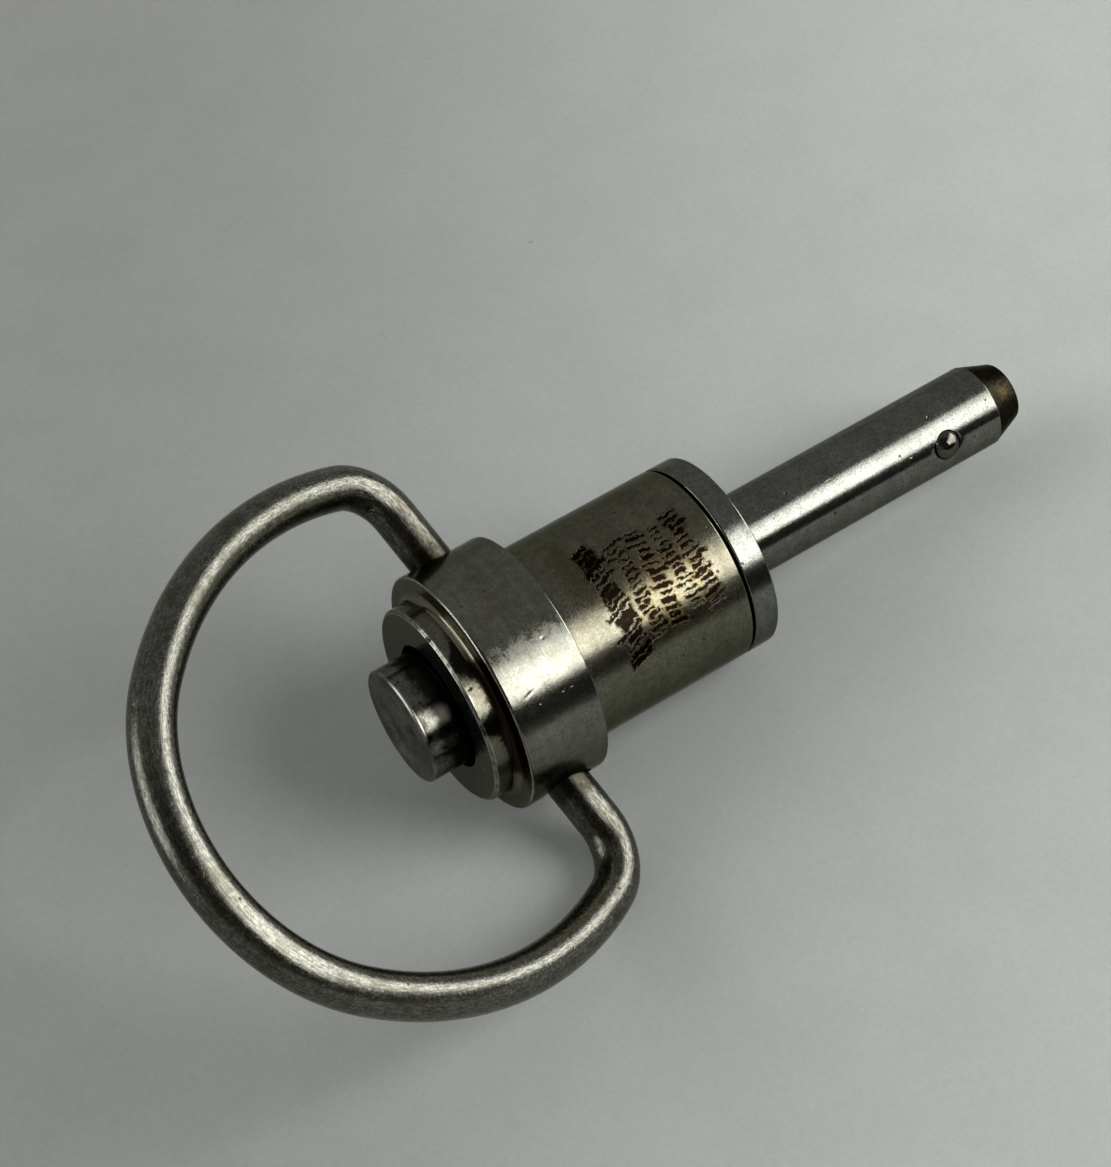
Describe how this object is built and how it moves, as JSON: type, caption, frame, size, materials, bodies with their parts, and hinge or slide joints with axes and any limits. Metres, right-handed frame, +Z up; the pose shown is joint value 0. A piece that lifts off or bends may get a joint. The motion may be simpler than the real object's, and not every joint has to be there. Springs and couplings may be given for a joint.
{
  "type": "quick release pin",
  "caption": "Ball lock pin: pressing the button in its head lets the lock balls in, and a swinging wire ring pulls it out.",
  "frame": {"origin": "on the shank's line at the flange's seat face, where the shank starts", "axes": "+X along the shank towards the nose, 6 degrees nose down as the pin lies; +Z up from the table; +Y the third way, away from the near side"},
  "size_m": [0.0721, 0.0362, 0.0291],
  "materials": {
    "shank_steel": "fine turned steel, heat tinted brown at the nose",
    "barrel_steel": "satin turned steel",
    "collar_steel": "satin turned steel with small nicks",
    "ring_wire": "bright drawn wire with tool marks",
    "button_steel": "turned steel, slightly stained",
    "spindle_steel": "ground steel",
    "spring_wire": "drawn spring wire",
    "ball_steel": "polished ball"
  },
  "bodies": {
    "pin_body": {"shank": "shank_steel", "barrel": "barrel_steel", "collar": "collar_steel", "return_spring": "spring_wire"},
    "plunger": {"button": "button_steel", "spindle": "spindle_steel", "cross_pin": "spindle_steel"},
    "ring": {"ring_handle": "ring_wire"},
    "near_ball": {"lock_ball_near": "ball_steel"},
    "far_ball": {"lock_ball_far": "ball_steel"}
  },
  "joints": [
    {"name": "button_press", "type": "slide", "parent": "pin_body", "child": "plunger", "axis": [0.9945, 0, -0.1052], "range_m": [0, 0.0025], "stiffness_N_per_m": 1000, "springref_m": -0.003, "deforming": ["return_spring"]},
    {"name": "ring_swing", "type": "hinge", "parent": "pin_body", "child": "ring", "pos_m": [-0.01845, 0, 0.00195], "axis": [0.0515, 0.8721, 0.4867], "range_deg": [-199.5, 140.5]},
    {"name": "near_ball_slide", "type": "slide", "parent": "pin_body", "child": "near_ball", "axis": [-0.0448, 0.9048, -0.4234], "range_m": [0, 0.00061]},
    {"name": "far_ball_slide", "type": "slide", "parent": "pin_body", "child": "far_ball", "axis": [0.0448, -0.9048, 0.4234], "range_m": [0, 0.00061]}
  ],
  "couplings": [
    {"joint": "near_ball_slide", "follows": "button_press", "ratio": 0.24},
    {"joint": "far_ball_slide", "follows": "button_press", "ratio": 0.24}
  ]
}
